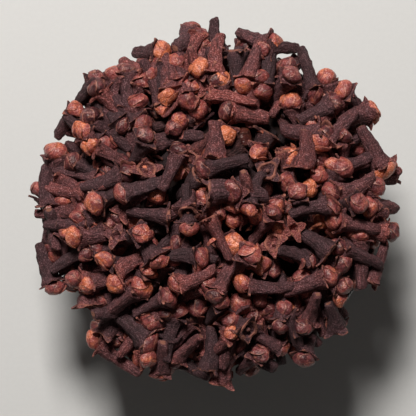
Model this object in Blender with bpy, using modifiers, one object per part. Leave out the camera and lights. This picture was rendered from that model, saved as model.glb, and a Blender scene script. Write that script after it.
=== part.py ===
"""A small clear glass bowl, heaped well over its rim with whole dried cloves."""

import math

import bmesh
import bpy
import numpy as np
from mathutils import Euler

# Driving dimensions, in metres
BOWL_DIAMETER = 0.082
BOWL_HEIGHT = 0.036
BOWL_WALL = 0.0028
BOWL_FLOOR = 0.0042
FOOT_DIAMETER = 0.040
FOOT_LIFT = 0.0012
CLOVE_LENGTH = 0.0158
CLOVE_LENGTH_SPREAD = 0.0012
MOUND_RISE = 0.0180
MOUND_RADIUS = 0.0490
GLASS_GAP = 0.0007

# Sizes that follow from them
RIM_RADIUS = BOWL_WALL / 2
CREST_RADIUS = BOWL_DIAMETER / 2 - RIM_RADIUS
CURVE_WIDTH = (BOWL_DIAMETER - FOOT_DIAMETER) / 2
CURVE_HEIGHT = BOWL_HEIGHT - RIM_RADIUS - FOOT_LIFT

# Facets
BOWL_STEPS = 40
CURVE_POINTS = 9
RIM_POINTS = 3
CORE_STEPS = 20
CORE_POINTS = 5
CLOVE_SIDES = 5
FACET_SWELL = 1.125

# A clove's outline, tail to bud: part of its length, and radius in metres
OUTLINES = {
    "whole": ((0, 0.0010), (0.62, 0.0018), (0.76, 0.0025), (0.90, 0.0023), (1, 0.0010)),
    "open": ((0, 0.0010), (0.74, 0.0018), (1, 0.0028)),
}
SIZES = {"whole": 1.0, "open": 0.8}
SHORTEST = {"whole": 0.0130, "open": 0.0104}
LONGEST = 0.0175
OPEN_SHARE = 0.14
OPEN_PIT = 0.86
BUD_CENTRE = 0.86

# How the heap is laid
SEED = 27
MAP_POINTS = (44, 16)
TRIAL_POINTS = (12, 8)
GLASS_POINTS = 60
MAP_CELL = 0.0005
MAP_REACH = 0.060
SINK = 0.0008
LIFT_LIMIT = 0.0020
PLACES_TRIED = 40
FAILURES_ALLOWED = 30
FREE_PITCHES = np.radians(np.linspace(-48, 48, 9))
RIM_PITCHES = np.radians(np.linspace(-18, 18, 5))
LEANING_PITCHES = np.radians(np.linspace(8, 44, 6))
RING_COUNT = 40
RING_RADIUS = 0.0355
RING_BAND = (0.95, 1.05)
RING_UNEVENNESS = 0.3
RING_TURN = 0.4
BEARER_RADIUS = 0.0405
BEARER_REACH = 0.0012
BEARER_TURN = 0.15
BEARER_WEIGHT = 100
OVERHANG_WEIGHT = 40
BUD_DEPTHS = (-0.0008, 0.0014)
STANDING_PITCHES = np.radians((48, 76))
LEANING_TURN = 1.0
TILT_STEP = 0.1
TURN_STEP = 0.08
SHIFT_STEP = 0.0009
FREE_REACH = 0.032
FLOOR_REACH = 0.022
FILL_REACH = 0.0425
CORE_DEPTH = 0.0085
CORE_SIDE = 0.0075
CORE_FLOOR = 0.0045
SIDE_DEPTH = 0.0075
SIDE_REACH = 0.036
UNDER_DEPTH = 0.0054
FILL_DEPTH = 0.0028
RIM_FILL_DEPTH = 0.0012
FUSED_CORE_DEPTH = 0.0044
FUSED_CLOVES = 150

# Places set by hand, in pixels of a view from straight above
PIXEL = 0.001 / 3.86
AXIS_PIXEL = (222, 207.5)

# Buds that look up out of the heap, and calyxes that have lost theirs: x, y
UPRIGHT = (
    (143, 81), (141, 102), (90, 118), (82, 130), (97, 87), (175, 62), (194, 66), (221, 78), (258, 77),
    (265, 95), (198, 109), (179, 120), (287, 65), (326, 77), (289, 102), (342, 135), (79, 216), (75, 236),
    (103, 224), (87, 256), (103, 258), (157, 194), (144, 168), (257, 153), (218, 213), (253, 214),
    (237, 244), (320, 159), (290, 153), (286, 181), (308, 188), (343, 167), (376, 186), (335, 224),
    (319, 223), (279, 226), (276, 206), (256, 264), (88, 285), (74, 278), (115, 283), (153, 322),
    (199, 308), (256, 316), (270, 307), (240, 304), (338, 299), (345, 284), (288, 309), (280, 325),
    (275, 270), (303, 278), (343, 262), (180, 170), (172, 130), (318, 176), (258, 297), (227, 136),
)
UPRIGHT_OPEN = (
    (91, 237), (266, 172), (86, 305), (179, 312), (190, 160),
)

# Cloves that lie near the top of the heap, then those on top of it: tail x, y, head x, y
LOWER = (
    (77, 99, 104, 70), (127, 112, 129, 64), (124, 58, 160, 72), (112, 96, 143, 124), (88, 100, 124, 126),
    (211, 88, 213, 42), (193, 66, 197, 34), (172, 50, 188, 32), (296, 44, 250, 50), (160, 101, 152, 60),
    (155, 62, 192, 92), (362, 106, 334, 84), (300, 119, 342, 101), (283, 123, 335, 130), (272, 98, 294, 70),
    (43, 159, 51, 212), (39, 241, 35, 179), (40, 240, 64, 291), (118, 184, 66, 153), (124, 162, 82, 142),
    (122, 186, 88, 203), (150, 193, 120, 222), (247, 243, 272, 207), (216, 264, 173, 241),
    (165, 258, 211, 255), (143, 228, 172, 268), (336, 206, 364, 208), (397, 206, 358, 203),
    (352, 222, 403, 230), (92, 308, 126, 304), (123, 299, 155, 262), (187, 299, 215, 280),
    (217, 265, 168, 279), (200, 340, 170, 368), (282, 364, 238, 336), (250, 331, 292, 352),
    (309, 330, 300, 367), (318, 297, 304, 332), (165, 340, 163, 372), (130, 165, 141, 133),
    (293, 214, 293, 186), (262, 184, 232, 183), (236, 270, 253, 245), (131, 348, 152, 362),
    (243, 368, 268, 348), (283, 342, 306, 326), (204, 324, 217, 300), (127, 242, 154, 232),
    (44, 208, 52, 246), (66, 262, 74, 222), (237, 168, 246, 210), (256, 170, 248, 212),
)
LOWER_OPEN = (
    (245, 95, 240, 42), (85, 200, 62, 174), (212, 118, 207, 161), (196, 183, 192, 213),
    (127, 214, 175, 216), (112, 300, 103, 333), (160, 256, 117, 276), (226, 306, 247, 326),
    (231, 350, 222, 380), (325, 298, 333, 331), (387, 240, 372, 288),
)
UPPER = (
    (54, 134, 80, 100), (104, 124, 113, 62), (137, 49, 170, 46), (272, 113, 223, 109), (297, 50, 314, 106),
    (335, 123, 374, 107), (366, 122, 389, 175), (57, 203, 55, 139), (58, 254, 66, 196), (79, 194, 130, 168),
    (162, 178, 113, 197), (252, 162, 199, 174), (156, 187, 180, 141), (181, 180, 189, 231),
    (305, 125, 296, 177), (377, 169, 326, 190), (364, 292, 353, 229), (284, 212, 334, 203),
    (279, 245, 318, 261), (143, 377, 93, 331), (117, 320, 158, 352), (138, 312, 178, 288),
    (229, 261, 210, 306), (290, 291, 230, 281), (284, 294, 340, 278), (212, 359, 238, 329),
    (156, 58, 164, 100), (233, 33, 278, 51),
)
UPPER_OPEN = (
    (214, 14, 226, 60), (257, 99, 203, 94), (268, 200, 200, 194), (228, 259, 201, 213), (301, 232, 337, 254),
    (212, 329, 203, 378),
)


def glass_outer(turn):
    """Point (radius, height) of the glass's outer curve, from 0 at the foot to a right angle at the rim."""
    radius = FOOT_DIAMETER / 2 + CURVE_WIDTH * math.sin(turn)
    return radius, FOOT_LIFT + CURVE_HEIGHT * (1 - math.cos(turn))


def glass_inner(turn):
    """The point across the wall from glass_outer, as far in as the glass is thick there."""
    radius, height = glass_outer(turn)
    slope = math.atan2(CURVE_HEIGHT * math.sin(turn), CURVE_WIDTH * math.cos(turn))
    share = turn / (math.pi / 2)
    thickness = BOWL_WALL * share + (BOWL_FLOOR - FOOT_LIFT) * (1 - share)
    return radius - thickness * math.sin(slope), height + thickness * math.cos(slope)


def glass_top(radius):
    """Height of the glass met from straight above, at an array of radii, and far below past the rim."""
    turns = np.linspace(0, math.pi / 2, GLASS_POINTS)
    curve = np.array([(0, BOWL_FLOOR)] + [glass_inner(turn) for turn in turns])
    height = np.interp(radius, curve[:, 0], curve[:, 1])
    across = np.clip(np.abs(radius - CREST_RADIUS) / RIM_RADIUS, 0, 1)
    rim = BOWL_HEIGHT - RIM_RADIUS + RIM_RADIUS * np.sqrt(1 - across**2)
    height = np.where(radius > CREST_RADIUS - RIM_RADIUS, rim, height)
    return np.where(radius > BOWL_DIAMETER / 2 + GLASS_GAP, -1, height)


def mound_top(radius):
    """Height of the mound's even form at a radius."""
    return BOWL_HEIGHT + MOUND_RISE * (1 - (radius / MOUND_RADIUS) ** 2)


def core_top(radius):
    """Height of the hidden middle that the shown cloves lie on, and far below past its edge."""
    edge = CREST_RADIUS - RIM_RADIUS - CORE_SIDE
    return np.where(radius < edge, mound_top(radius) - CORE_DEPTH, -1)


def clove_points(kind, length, headings, pitches, stations, sides):
    """Points on cloves about their middles, by heading, pitch, point, and x, y or z."""
    outline = np.array(OUTLINES[kind])
    part = np.linspace(0, 1, stations)
    radius = np.repeat(np.interp(part, outline[:, 0], outline[:, 1]), sides)
    along = np.repeat((part - 0.5) * length, sides)
    turn = np.tile(np.arange(sides) * 2 * math.pi / sides, stations)
    heading = np.asarray(headings)[:, None, None]
    pitch = np.asarray(pitches)[None, :, None]
    flat = along * np.cos(pitch) - radius * np.sin(turn) * np.sin(pitch)
    x = flat * np.cos(heading) - radius * np.cos(turn) * np.sin(heading)
    y = flat * np.sin(heading) + radius * np.cos(turn) * np.cos(heading)
    z = along * np.sin(pitch) + radius * np.sin(turn) * np.cos(pitch) + 0 * heading
    return np.stack([x, y, z], axis=-1)


def cells(lengths):
    """Row or column of the plan's cell under each length from its middle."""
    index = np.floor((lengths + MAP_REACH) / MAP_CELL).astype(int)
    return np.clip(index, 0, int(2 * MAP_REACH / MAP_CELL) - 1)


def from_pixel(x, y):
    """Place on the plan of a pixel of the view from above."""
    return np.array([(x - AXIS_PIXEL[0]) * PIXEL, (AXIS_PIXEL[1] - y) * PIXEL])


def ways(headings):
    """Unit vectors on the plan."""
    return np.stack([np.cos(headings), np.sin(headings)], axis=-1)


class Heap:
    """The cloves laid so far, and how high the heap stands at each cell of a plan."""

    def __init__(self):
        line = np.arange(-MAP_REACH, MAP_REACH, MAP_CELL) + MAP_CELL / 2
        self.radii = np.hypot(*np.meshgrid(line, line, indexing="ij"))
        self.top = glass_top(self.radii) + GLASS_GAP
        self.owner = np.full(self.top.shape, -1)
        self.laid = []
        self.bearers = []
        self.rng = np.random.default_rng(SEED)

    def place(self, kind, length, place, height, heading, pitch):
        """Lay one clove, clear of the glass, and raise the plan's heights to it."""
        points = clove_points(kind, length, [heading], [pitch], *MAP_POINTS)[0, 0]
        across = points[:, :2] + place
        glass = glass_top(np.hypot(across[:, 0], across[:, 1])) + GLASS_GAP
        height = max(height, np.max(glass - points[:, 2]))
        index = cells(across[:, 0]), cells(across[:, 1])
        upper = points[:, 2] + height - SINK
        np.maximum.at(self.top, index, upper)
        seen = self.top[index] <= upper + 1e-6
        self.owner[index[0][seen], index[1][seen]] = len(self.laid)
        self.laid.append((kind, length, place[0], place[1], height, heading, pitch))

    def settle(self, kind, length, places, headings, pitches, level=None):
        """Of many places and pitches, lay the clove where it rests lowest against a level.

        With no level it is laid wherever it rests, pressed in where it would stand too high.
        """
        points = clove_points(kind, length, headings, pitches, *TRIAL_POINTS)
        index_x = cells(points[..., 0] + places[:, 0, None, None])
        index_y = cells(points[..., 1] + places[:, 1, None, None])
        heights = np.max(self.top[index_x, index_y] - points[..., 2], axis=2)
        radii = np.hypot(places[:, 0], places[:, 1])
        levels = level(radii) if level else mound_top(radii) + LIFT_LIMIT
        k = int(np.argmin(heights.min(axis=1) - levels))
        best = int(np.argmin(heights[k]))
        if level and heights[k, best] > levels[k]:
            return False
        height = min(heights[k, best], levels[k])
        self.place(kind, length, places[k], height, headings[k], pitches[best])
        return True

    def fill(self, level, reach, radius_from=0.0, pitches=FREE_PITCHES):
        """Lay cloves in the lowest of many random places until the heap is up to a level."""
        failures = 0
        while failures < FAILURES_ALLOWED:
            kind = "open" if self.rng.random() < OPEN_SHARE else "whole"
            length = SIZES[kind] * (CLOVE_LENGTH + CLOVE_LENGTH_SPREAD * self.rng.uniform(-1, 1))
            spread = self.rng.uniform(radius_from**2, reach**2, PLACES_TRIED)
            places = np.sqrt(spread)[:, None] * ways(self.rng.uniform(0, 2 * math.pi, PLACES_TRIED))
            headings = self.rng.uniform(0, 2 * math.pi, PLACES_TRIED)
            failures += not self.settle(kind, length, places, headings, pitches, level)

    def ring(self):
        """Lay cloves across the rim all the way round, to carry those that overhang it."""
        for i in range(RING_COUNT):
            outward = 2 * math.pi * (i + self.rng.uniform(-RING_UNEVENNESS, RING_UNEVENNESS)) / RING_COUNT
            turned_in = math.pi * (self.rng.random() < 0.5)
            headings = outward + turned_in + self.rng.uniform(-RING_TURN, RING_TURN, PLACES_TRIED)
            places = self.rng.uniform(*RING_BAND, (PLACES_TRIED, 1)) * RING_RADIUS * ways(outward)
            self.settle("whole", CLOVE_LENGTH, places, headings, RIM_PITCHES)

    def bear(self, place):
        """Lay a clove across the rim to carry one that lies beyond it."""
        outward = math.atan2(place[1], place[0])
        headings = outward + math.pi + self.rng.uniform(-BEARER_TURN, BEARER_TURN, PLACES_TRIED)
        middle = (np.hypot(*place) + BEARER_REACH - CLOVE_LENGTH / 2) * ways(outward)
        self.bearers.append(len(self.laid))
        self.settle("whole", CLOVE_LENGTH, np.tile(middle, (PLACES_TRIED, 1)), headings, RIM_PITCHES)

    def stand(self, kind, bud):
        """Stand a clove in the heap with its bud at a place, or lean it out over the rim."""
        length = SIZES[kind] * CLOVE_LENGTH
        radius = np.hypot(*bud)
        to_bud = (BUD_CENTRE - 0.5) * length
        if radius < FREE_REACH:
            heading = self.rng.uniform(0, 2 * math.pi)
            pitch = self.rng.uniform(*STANDING_PITCHES)
            middle = bud - to_bud * math.cos(pitch) * ways(heading)
            height = mound_top(radius) - 0.5 * length * math.sin(pitch) - self.rng.uniform(*BUD_DEPTHS)
            self.place(kind, length, middle, height, heading, pitch)
            return
        headings = math.atan2(bud[1], bud[0]) + self.rng.uniform(-LEANING_TURN, LEANING_TURN, PLACES_TRIED)
        self.settle(kind, length, bud - to_bud * ways(headings), headings, LEANING_PITCHES)

    def lay(self, kind, ends):
        """Lay a clove with its tail and head at two pixels, shifted a little if it then lies lower."""
        tail = from_pixel(*ends[:2])
        head = from_pixel(*ends[2:])
        span = np.hypot(*(head - tail))
        length = min(max(span, SHORTEST[kind]), LONGEST)
        tilt = math.acos(min(1, span / length))
        pitches = np.array([side * tilt + step for side in (-1, 1) for step in (-TILT_STEP, 0, TILT_STEP)])
        headings = math.atan2(head[1] - tail[1], head[0] - tail[0]) + np.repeat([-1, 0, 1], 9) * TURN_STEP
        shifts = np.array([(i, j) for i in (-1, 0, 1) for j in (-1, 0, 1)] * 3) * SHIFT_STEP
        middle = (tail + head) / 2
        if np.hypot(*middle) > BEARER_RADIUS:
            self.bear(middle)
        self.settle(kind, length, middle + shifts, headings, pitches)


def lay_cloves():
    """Lay the whole heap from the glass up, and say how much of each clove shows from above."""
    heap = Heap()
    heap.fill(lambda radius: glass_top(radius) + CORE_FLOOR, FLOOR_REACH)
    heap.top = np.maximum(heap.top, core_top(heap.radii))
    heap.fill(lambda radius: mound_top(radius) - SIDE_DEPTH, SIDE_REACH, FREE_REACH)
    heap.fill(lambda radius: mound_top(radius) - UNDER_DEPTH, FREE_REACH)
    heap.ring()
    for kind, lot in (("open", UPRIGHT_OPEN), ("whole", UPRIGHT)):
        for pixel in lot:
            heap.stand(kind, from_pixel(*pixel))
    heap.fill(lambda radius: mound_top(radius) - FILL_DEPTH, FREE_REACH)
    heap.fill(lambda radius: mound_top(radius) - RIM_FILL_DEPTH, FILL_REACH, FREE_REACH, RIM_PITCHES)
    for kind, lot in (("whole", LOWER), ("open", LOWER_OPEN), ("whole", UPPER), ("open", UPPER_OPEN)):
        for ends in lot:
            heap.lay(kind, ends)
    shown = np.bincount(heap.owner[heap.owner >= 0], minlength=len(heap.laid))
    shown[heap.bearers] += BEARER_WEIGHT
    middles = np.array([clove[2:4] for clove in heap.laid])
    shown[np.hypot(*middles.T) > BEARER_RADIUS] += OVERHANG_WEIGHT
    return heap.laid, shown


def turned(name, profile, steps):
    """An object turned from a profile of (radius, height) points that runs down its outer side."""
    mesh = bpy.data.meshes.new(name)
    edges = [(i, i + 1) for i in range(len(profile) - 1)]
    mesh.from_pydata([(radius, 0, height) for radius, height in profile], edges, [])
    obj = bpy.data.objects.new(name, mesh)
    screw = obj.modifiers.new("turned", "SCREW")
    screw.steps = steps
    screw.render_steps = steps
    screw.use_merge_vertices = True
    screw.merge_threshold = 0.00001
    return obj


def bake(obj):
    """Give an object the mesh that its modifiers make."""
    bpy.context.view_layer.update()
    evaluated = obj.evaluated_get(bpy.context.evaluated_depsgraph_get())
    mesh = bpy.data.meshes.new_from_object(evaluated)
    obj.modifiers.clear()
    obj.data = mesh


def material(name, colour, roughness, transmission=0.0):
    """A Principled material in one colour."""
    finish = bpy.data.materials.new(name)
    finish.use_nodes = True
    finish.diffuse_color = colour
    shader = finish.node_tree.nodes["Principled BSDF"]
    shader.inputs["Base Color"].default_value = colour
    shader.inputs["Roughness"].default_value = roughness
    shader.inputs["Metallic"].default_value = 0.0
    shader.inputs["Transmission Weight"].default_value = transmission
    return finish


def bowl():
    """The glass bowl: flat foot, evenly curved wall and round rim."""
    turns = [math.pi / 2 * i / (CURVE_POINTS - 1) for i in range(CURVE_POINTS)]
    profile = [(0, BOWL_FLOOR)]
    profile += [glass_inner(turn) for turn in turns]
    for i in range(1, RIM_POINTS + 1):
        turn = math.pi * i / (RIM_POINTS + 1)
        across = CREST_RADIUS - RIM_RADIUS * math.cos(turn)
        profile.append((across, BOWL_HEIGHT - RIM_RADIUS + RIM_RADIUS * math.sin(turn)))
    profile += [glass_outer(turn) for turn in reversed(turns)]
    profile += [(FOOT_DIAMETER / 2 - FOOT_LIFT, 0), (0, 0)]
    obj = turned("bowl", profile, BOWL_STEPS)
    obj.data.materials.append(material("clear pressed glass", (0.9, 0.92, 0.91, 1), 0.05, 1.0))
    return obj


def core_profile():
    """The fused core's outline: down its domed top, then in along the glass to the middle."""
    edge = CREST_RADIUS - RIM_RADIUS - CORE_SIDE / 2
    profile = []
    for i in range(CORE_POINTS + 1):
        radius = edge * i / CORE_POINTS
        profile.append((radius, mound_top(radius) - FUSED_CORE_DEPTH))
    for i in range(CORE_POINTS + 1):
        turn = math.radians(72 * (1 - i / CORE_POINTS))
        radius, height = glass_inner(turn)
        inset = GLASS_GAP + 0.0018 * math.sin(turn)
        profile.append((radius - inset, height + GLASS_GAP + inset / 2))
    profile.append((0, BOWL_FLOOR + GLASS_GAP))
    return profile


def clove_mould(kind):
    """One clove with few sides, a unit long, standing on its tail about its middle.

    It is a little thicker than its outline, so that its flat sides hold what the round clove holds.
    """
    outline = OUTLINES[kind]
    crown = OPEN_PIT if kind == "open" else 1
    profile = [(0, crown - 0.5)]
    profile += [(FACET_SWELL * radius / CLOVE_LENGTH, part - 0.5) for part, radius in reversed(outline)]
    profile.append((0, -0.5))
    mould = turned(kind + "_mould", profile, CLOVE_SIDES)
    bpy.context.scene.collection.objects.link(mould)
    bake(mould)
    return mould


def keep_largest_body(obj):
    """Keep an object's largest closed surface, which fills its hollows and drops loose scraps."""
    mesh = bmesh.new()
    mesh.from_mesh(obj.data)
    unseen = set(mesh.faces)
    bodies = []
    while unseen:
        body = [unseen.pop()]
        for face in body:
            for edge in face.edges:
                for other in edge.link_faces:
                    if other in unseen:
                        unseen.discard(other)
                        body.append(other)
        bodies.append(body)
    bodies.sort(key=len)
    spare = [face for body in bodies[:-1] for face in body]
    bmesh.ops.delete(mesh, geom=spare, context="FACES")
    mesh.to_mesh(obj.data)
    mesh.free()


def cloves():
    """The heap: a core with the cloves that show fused on, each where it was laid."""
    laid, shown = lay_cloves()
    moulds = {kind: clove_mould(kind) for kind in OUTLINES}
    pieces = bpy.data.collections.new("pieces")
    bpy.context.scene.collection.children.link(pieces)
    for k in np.argsort(-shown, kind="stable")[:FUSED_CLOVES]:
        kind, length, x, y, z, heading, pitch = laid[k]
        piece = bpy.data.objects.new("clove", moulds[kind].data)
        piece.location = (x, y, z)
        piece.rotation_euler = Euler((0, math.pi / 2 - pitch, heading))
        piece.scale = (CLOVE_LENGTH, CLOVE_LENGTH, length)
        pieces.objects.link(piece)
    obj = turned("cloves", core_profile(), CORE_STEPS)
    bpy.context.scene.collection.objects.link(obj)
    bake(obj)
    union = obj.modifiers.new("cloves fused on", "BOOLEAN")
    union.operation = "UNION"
    union.operand_type = "COLLECTION"
    union.collection = pieces
    union.solver = "MANIFOLD"
    bake(obj)
    for piece in list(pieces.objects) + list(moulds.values()):
        bpy.data.objects.remove(piece)
    bpy.data.collections.remove(pieces)
    keep_largest_body(obj)
    bpy.context.scene.collection.objects.unlink(obj)
    obj.data.materials.append(material("dried clove", (0.08, 0.03, 0.02, 1), 0.7))
    return obj


for old in list(bpy.data.objects):
    bpy.data.objects.remove(old)
group = bpy.data.collections.new("bowl_of_cloves")
bpy.context.scene.collection.children.link(group)
for part in (bowl(), cloves()):
    group.objects.link(part)
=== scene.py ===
"""A small clear glass bowl, heaped well over its rim with whole dried cloves."""

import math

import bmesh
import bpy
import numpy as np
from mathutils import Matrix


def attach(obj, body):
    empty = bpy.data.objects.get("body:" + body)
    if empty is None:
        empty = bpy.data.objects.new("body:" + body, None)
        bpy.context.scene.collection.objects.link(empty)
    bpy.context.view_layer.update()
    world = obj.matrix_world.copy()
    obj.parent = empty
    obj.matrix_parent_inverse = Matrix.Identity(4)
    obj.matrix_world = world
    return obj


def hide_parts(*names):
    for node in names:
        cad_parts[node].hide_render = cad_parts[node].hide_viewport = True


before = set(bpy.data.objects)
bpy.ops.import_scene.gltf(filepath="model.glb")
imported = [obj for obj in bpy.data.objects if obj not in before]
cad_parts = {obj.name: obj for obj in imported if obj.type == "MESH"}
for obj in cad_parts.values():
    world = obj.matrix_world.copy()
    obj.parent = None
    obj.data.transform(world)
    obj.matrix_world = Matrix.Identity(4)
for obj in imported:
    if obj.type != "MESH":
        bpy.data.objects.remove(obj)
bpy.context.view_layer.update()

# Pressed glass bowl
# A round pinch bowl of clear soda-lime glass, pressed in a mould and fire polished, so that its rim
# is round and its skin is a little wavy. It stands on a flat foot and carries the heap.
BOWL_DIAMETER = 0.082
BOWL_HEIGHT = 0.036
BOWL_WALL = 0.0028
BOWL_FLOOR = 0.0042
FOOT_DIAMETER = 0.040
FOOT_LIFT = 0.0012
RIM_RADIUS = BOWL_WALL / 2
CREST_RADIUS = BOWL_DIAMETER / 2 - RIM_RADIUS
CURVE_WIDTH = (BOWL_DIAMETER - FOOT_DIAMETER) / 2
CURVE_HEIGHT = BOWL_HEIGHT - RIM_RADIUS - FOOT_LIFT
BOWL_STEPS = 144
CURVE_POINTS = 33
RIM_POINTS = 9
GLASS_CREASE = math.radians(35)
GLASS_TINT = "#f7fbf9"
GLASS_IOR = 1.52
GLASS_HAZE = 0.03
RIPPLES_A_METRE = 60.0
SMEARS_A_METRE = 220.0
RIPPLE_DEPTH = 0.0004
RIPPLE_STRENGTH = 0.10


def glass_outer(turn):
    """Point (radius, height) of the glass's outer curve, from 0 at the foot to a right angle at the rim."""
    radius = FOOT_DIAMETER / 2 + CURVE_WIDTH * math.sin(turn)
    return radius, FOOT_LIFT + CURVE_HEIGHT * (1 - math.cos(turn))


def glass_slope(turn):
    """Angle of the glass's curve above the level."""
    return math.atan2(CURVE_HEIGHT * math.sin(turn), CURVE_WIDTH * math.cos(turn))


def glass_inner(turn):
    """The point across the wall from glass_outer, as far in as the glass is thick there."""
    radius, height = glass_outer(turn)
    slope = glass_slope(turn)
    share = turn / (math.pi / 2)
    thickness = BOWL_WALL * share + (BOWL_FLOOR - FOOT_LIFT) * (1 - share)
    return radius - thickness * math.sin(slope), height + thickness * math.cos(slope)


def placed(name, data):
    """A new object of a mesh, lamp or camera, in the scene."""
    obj = bpy.data.objects.new(name, data)
    bpy.context.scene.collection.objects.link(obj)
    return obj


def turned(name, profile, steps):
    """A mesh object turned from a profile of (radius, height) points that runs down its outer side."""
    mesh = bpy.data.meshes.new(name)
    edges = [(i, i + 1) for i in range(len(profile) - 1)]
    mesh.from_pydata([(radius, 0, height) for radius, height in profile], edges, [])
    obj = placed(name, mesh)
    screw = obj.modifiers.new("turned", "SCREW")
    screw.steps = screw.render_steps = steps
    screw.use_merge_vertices = True
    screw.merge_threshold = 0.00001
    return obj


def bake(obj):
    """Give an object the mesh that its modifiers make, and take them off."""
    bpy.context.view_layer.update()
    mesh = bpy.data.meshes.new_from_object(obj.evaluated_get(bpy.context.evaluated_depsgraph_get()))
    obj.modifiers.clear()
    obj.data = mesh


def linear(code):
    """Linear colour, with alpha, of an sRGB hex code."""
    parts = [int(code[i:i + 2], 16) / 255 for i in (1, 3, 5)]
    return [p / 12.92 if p <= 0.04045 else ((p + 0.055) / 1.055) ** 2.4 for p in parts] + [1.0]


def add(tree, kind, settings=None, **links):
    """Add a node to a tree, with its settings, and values or links for its inputs by name."""
    node = tree.nodes.new(kind)
    for name, value in (settings or {}).items():
        setattr(node, name, value)
    for name, value in links.items():
        socket = node.inputs[int(name[1:])] if name[1:].isdigit() else node.inputs[name.replace("_", " ")]
        if isinstance(value, bpy.types.NodeSocket):
            tree.links.new(value, socket)
        else:
            socket.default_value = value
    return node


def noise(tree, place, scale, detail):
    """A soft noise about a half, with so many lumps a metre."""
    return add(tree, "ShaderNodeTexNoise", Vector=place, Scale=scale, Detail=detail).outputs["Fac"]


def stretch(tree, value, start, end, low, high):
    """A value from start to end made to run from low to high, and held at them beyond."""
    return add(
        tree, "ShaderNodeMapRange", Value=value, From_Min=start, From_Max=end, To_Min=low, To_Max=high
    ).outputs["Result"]


def new_finish(name):
    """A new material and its tree, with only a Principled shader and the output."""
    finish = bpy.data.materials.new(name)
    finish.use_nodes = True
    return finish, finish.node_tree, finish.node_tree.nodes["Principled BSDF"]


def set_surface(tree, shader, roughness, height, depth, strength, **values):
    """Link a shader's roughness and relief, and set its other values by name."""
    tree.links.new(roughness, shader.inputs["Roughness"])
    bump = add(tree, "ShaderNodeBump", Strength=strength, Distance=depth, Height=height)
    tree.links.new(bump.outputs["Normal"], shader.inputs["Normal"])
    for name, value in values.items():
        shader.inputs[name.replace("_", " ")].default_value = value


def pressed_glass():
    """Soda-lime glass, pressed: clear with a faint grey-green, and a slow ripple left by the mould."""
    finish, tree, shader = new_finish("pressed_soda_lime_glass")
    place = add(tree, "ShaderNodeTexCoord").outputs["Object"]
    haze = stretch(tree, noise(tree, place, SMEARS_A_METRE, 3.0), 0.0, 1.0, 0.0, GLASS_HAZE)
    set_surface(
        tree, shader, haze, noise(tree, place, RIPPLES_A_METRE, 1.0), RIPPLE_DEPTH, RIPPLE_STRENGTH,
        Base_Color=linear(GLASS_TINT), Transmission_Weight=1.0, IOR=GLASS_IOR,
    )
    return finish


turns = [math.pi / 2 * i / (CURVE_POINTS - 1) for i in range(CURVE_POINTS)]
bowl_profile = [(0, BOWL_FLOOR)] + [glass_inner(turn) for turn in turns]
for i in range(1, RIM_POINTS + 1):
    turn = math.pi * i / (RIM_POINTS + 1)
    across = CREST_RADIUS - RIM_RADIUS * math.cos(turn)
    bowl_profile.append((across, BOWL_HEIGHT - RIM_RADIUS + RIM_RADIUS * math.sin(turn)))
bowl_profile += [glass_outer(turn) for turn in reversed(turns)]
bowl_profile += [(FOOT_DIAMETER / 2 - FOOT_LIFT, 0), (0, 0)]
bowl = turned("glass_bowl", bowl_profile, BOWL_STEPS)
bake(bowl)
bowl.data.shade_smooth()
bowl.data.set_sharp_from_angle(angle=GLASS_CREASE)
bowl.data.materials.append(pressed_glass())
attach(bowl, "root")
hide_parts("bowl")


# Hidden middle of the heap
# Under the cloves that show, the heap is only more cloves in their own shade. One dark body with a
# lumpy skin stands for those that no one sees, well below the top and well in from the glass; its
# near-black colour is painted shade.
MOUND_RISE = 0.0180
MOUND_RADIUS = 0.0490
GLASS_GAP = 0.0004
CORE_DEPTH = 0.0085
CORE_SIDE = 0.0075
CORE_FLOOR = 0.0045
CORE_EDGE = CREST_RADIUS - RIM_RADIUS - CORE_SIDE
CORE_RINGS = 16
CORE_STEPS = 96
CORE_TURN = math.radians(78)
CORE_LUMP = 0.0030
CORE_RELIEF = 0.0016
# Painted shade: the near-black tones of the hidden middle
CORE_TONES = ("#0b0706", "#2a1a17")
FAR_BELOW = -1.0


def mound_top(radius):
    """Height of the mound's even form at a radius."""
    return BOWL_HEIGHT + MOUND_RISE * (1 - (radius / MOUND_RADIUS) ** 2)


def ramp(tree, colours, value):
    """A colour ramp of evenly spaced colours, and its colour at a value."""
    node = add(tree, "ShaderNodeValToRGB", Fac=value)
    points = node.color_ramp.elements
    for _ in colours[2:]:
        points.new(0.5)
    for i, colour in enumerate(colours):
        points[i].position = i / (len(colours) - 1)
        points[i].color = linear(colour)
    return node.outputs["Color"]


def shaded_cloves():
    """Painted shade: cloves in full shade, drawn as the same dried bud painted near black, with no gloss
    left.
    """
    finish, tree, shader = new_finish("dried_clove_in_deep_shade")
    place = add(tree, "ShaderNodeTexCoord").outputs["Object"]
    colour = ramp(tree, CORE_TONES, noise(tree, place, 1 / CORE_LUMP, 4.0))
    tree.links.new(colour, shader.inputs["Base Color"])
    shader.inputs["Roughness"].default_value = 0.95
    shader.inputs["Specular IOR Level"].default_value = 0.2
    return finish


core_profile = [(radius, mound_top(radius) - CORE_DEPTH) for radius in np.linspace(0, CORE_EDGE, CORE_RINGS)]
for turn in np.linspace(CORE_TURN, 0, CORE_RINGS):
    radius, height = glass_inner(turn)
    slope = glass_slope(turn)
    inset = CORE_FLOOR + (CORE_SIDE - CORE_FLOOR) * math.sin(slope)
    core_profile.append((radius - inset * math.sin(slope), height + inset * math.cos(slope)))
core_profile.append((0, BOWL_FLOOR + CORE_FLOOR))
core = turned("hidden_middle", core_profile, CORE_STEPS)
lumps = core.modifiers.new("lumps", "DISPLACE")
lumps.texture = bpy.data.textures.new("lumps", "CLOUDS")
lumps.texture.noise_scale = CORE_LUMP
lumps.strength = CORE_RELIEF
lumps.texture_coords = "LOCAL"
bake(core)
core.data.shade_smooth()
core.data.materials.append(shaded_cloves())
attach(core, "root")
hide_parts("cloves")


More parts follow.
